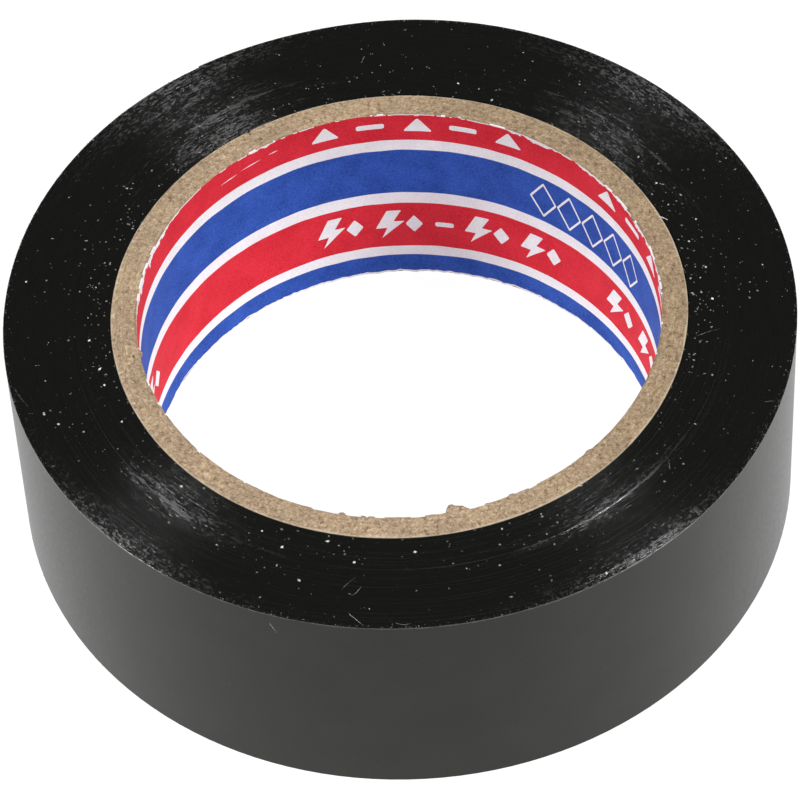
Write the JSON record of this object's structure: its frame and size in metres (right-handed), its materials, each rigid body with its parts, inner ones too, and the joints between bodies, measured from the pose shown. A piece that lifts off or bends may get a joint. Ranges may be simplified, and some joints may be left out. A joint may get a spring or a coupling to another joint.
{
  "type": "electrical tape roll",
  "caption": "Roll of black PVC insulating tape on a paperboard core with a striped paper liner and a free end that peels.",
  "frame": {"origin": "centre of the core's bore at the roll's lower end, which is the face it lies on", "axes": "+Z along the core's axis, up from the lower end; +X to the right and +Y to the back as the roll is usually seen, with the tape's free end at the back"},
  "size_m": [0.0596, 0.0596, 0.019],
  "materials": {
    "printed_paper": "matte",
    "kraft_board": "matte",
    "pvc_tape": "satin",
    "pvc_film": "satin"
  },
  "bodies": {
    "roll": {"printed_liner": "printed_paper", "core_ply_1": "kraft_board", "core_ply_2": "kraft_board", "core_ply_3": "kraft_board", "core_ply_4": "kraft_board", "wound_tape": "pvc_tape", "outer_turn": "pvc_film"},
    "free_end_1": {"leader_1": "pvc_film"},
    "free_end_2": {"leader_2": "pvc_film"},
    "free_end_3": {"leader_3": "pvc_film"},
    "free_end_4": {"leader_4": "pvc_film"}
  },
  "joints": [
    {"name": "peel_1", "type": "hinge", "parent": "roll", "child": "free_end_1", "pos_m": [0.00922, 0.02839, 0.0095], "axis": [0, 0, -1], "range_deg": [0, 35]},
    {"name": "peel_2", "type": "hinge", "parent": "free_end_1", "child": "free_end_2", "pos_m": [0.00312, 0.02969, 0.0095], "axis": [0, 0, -1], "range_deg": [0, 35]},
    {"name": "peel_3", "type": "hinge", "parent": "free_end_2", "child": "free_end_3", "pos_m": [-0.00312, 0.02969, 0.0095], "axis": [0, 0, -1], "range_deg": [0, 35]},
    {"name": "peel_4", "type": "hinge", "parent": "free_end_3", "child": "free_end_4", "pos_m": [-0.00922, 0.02839, 0.0095], "axis": [0, 0, -1], "range_deg": [0, 35]}
  ]
}
